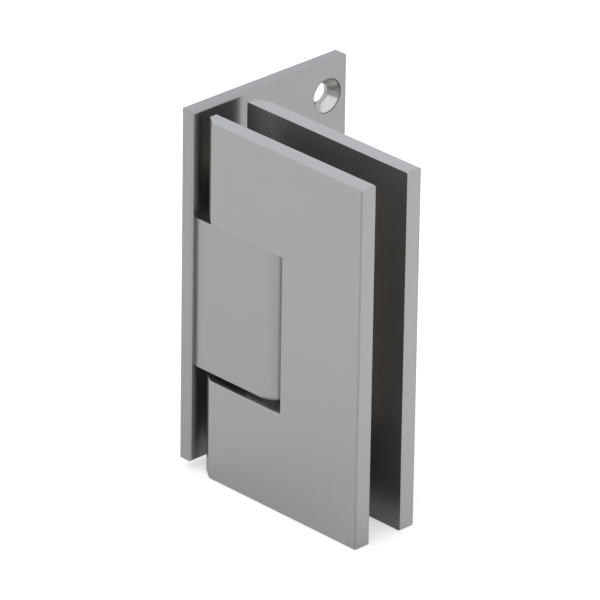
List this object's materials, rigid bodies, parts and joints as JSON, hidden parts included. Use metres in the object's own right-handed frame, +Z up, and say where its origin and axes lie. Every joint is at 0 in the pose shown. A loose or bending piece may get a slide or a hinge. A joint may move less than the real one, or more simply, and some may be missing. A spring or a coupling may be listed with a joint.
{
  "type": "glass door hinge",
  "caption": "Wall-mounted double-acting hinge with an offset wall plate that clamps the edge of a frameless glass door between two notched leaves.",
  "frame": {"origin": "on the wall plate's wall face, in the door's middle plane, level with the hinge block's middle", "axes": "+X away from the wall along the closed door, +Y along the wall towards the plate's long side, +Z up along the pivot"},
  "size_m": [0.0584, 0.0489, 0.0923],
  "materials": {
    "satin_metal": "satin nickel plate on solid metal",
    "pin_steel": "ground steel",
    "screw_steel": "plain stainless steel",
    "set_screw_steel": "black oxide",
    "spring_steel": "drawn spring wire",
    "shoe_brass": "machined",
    "bushing_nylon": "turned nylon"
  },
  "bodies": {
    "wall_bracket": {"wall_plate": "satin_metal", "hinge_block": "satin_metal", "block_screw_upper": "screw_steel", "block_screw_lower": "screw_steel", "bushing_upper": "bushing_nylon", "bushing_lower": "bushing_nylon", "detent_spring_upper": "spring_steel", "detent_spring_lower": "spring_steel"},
    "door_clamp": {"pivot_pin": "pin_steel", "front_leaf": "satin_metal", "rear_leaf": "satin_metal", "clamp_screw_upper_inner": "screw_steel", "clamp_screw_upper_outer": "screw_steel", "clamp_screw_lower_inner": "screw_steel", "clamp_screw_lower_outer": "screw_steel", "set_screw_upper": "set_screw_steel", "set_screw_lower": "set_screw_steel"},
    "detent": {"detent_shoe": "shoe_brass"}
  },
  "joints": [
    {"name": "door_swing", "type": "hinge", "parent": "wall_bracket", "child": "door_clamp", "pos_m": [0.0216, 0, 0], "axis": [0, 0, 1], "range_deg": [-90, 90]},
    {"name": "detent_slide", "type": "slide", "parent": "wall_bracket", "child": "detent", "axis": [1, 0, 0], "range_m": [-0.0005, 0], "stiffness_N_per_m": 500, "springref_m": 0.004, "deforming": ["detent_spring_upper", "detent_spring_lower"]}
  ]
}
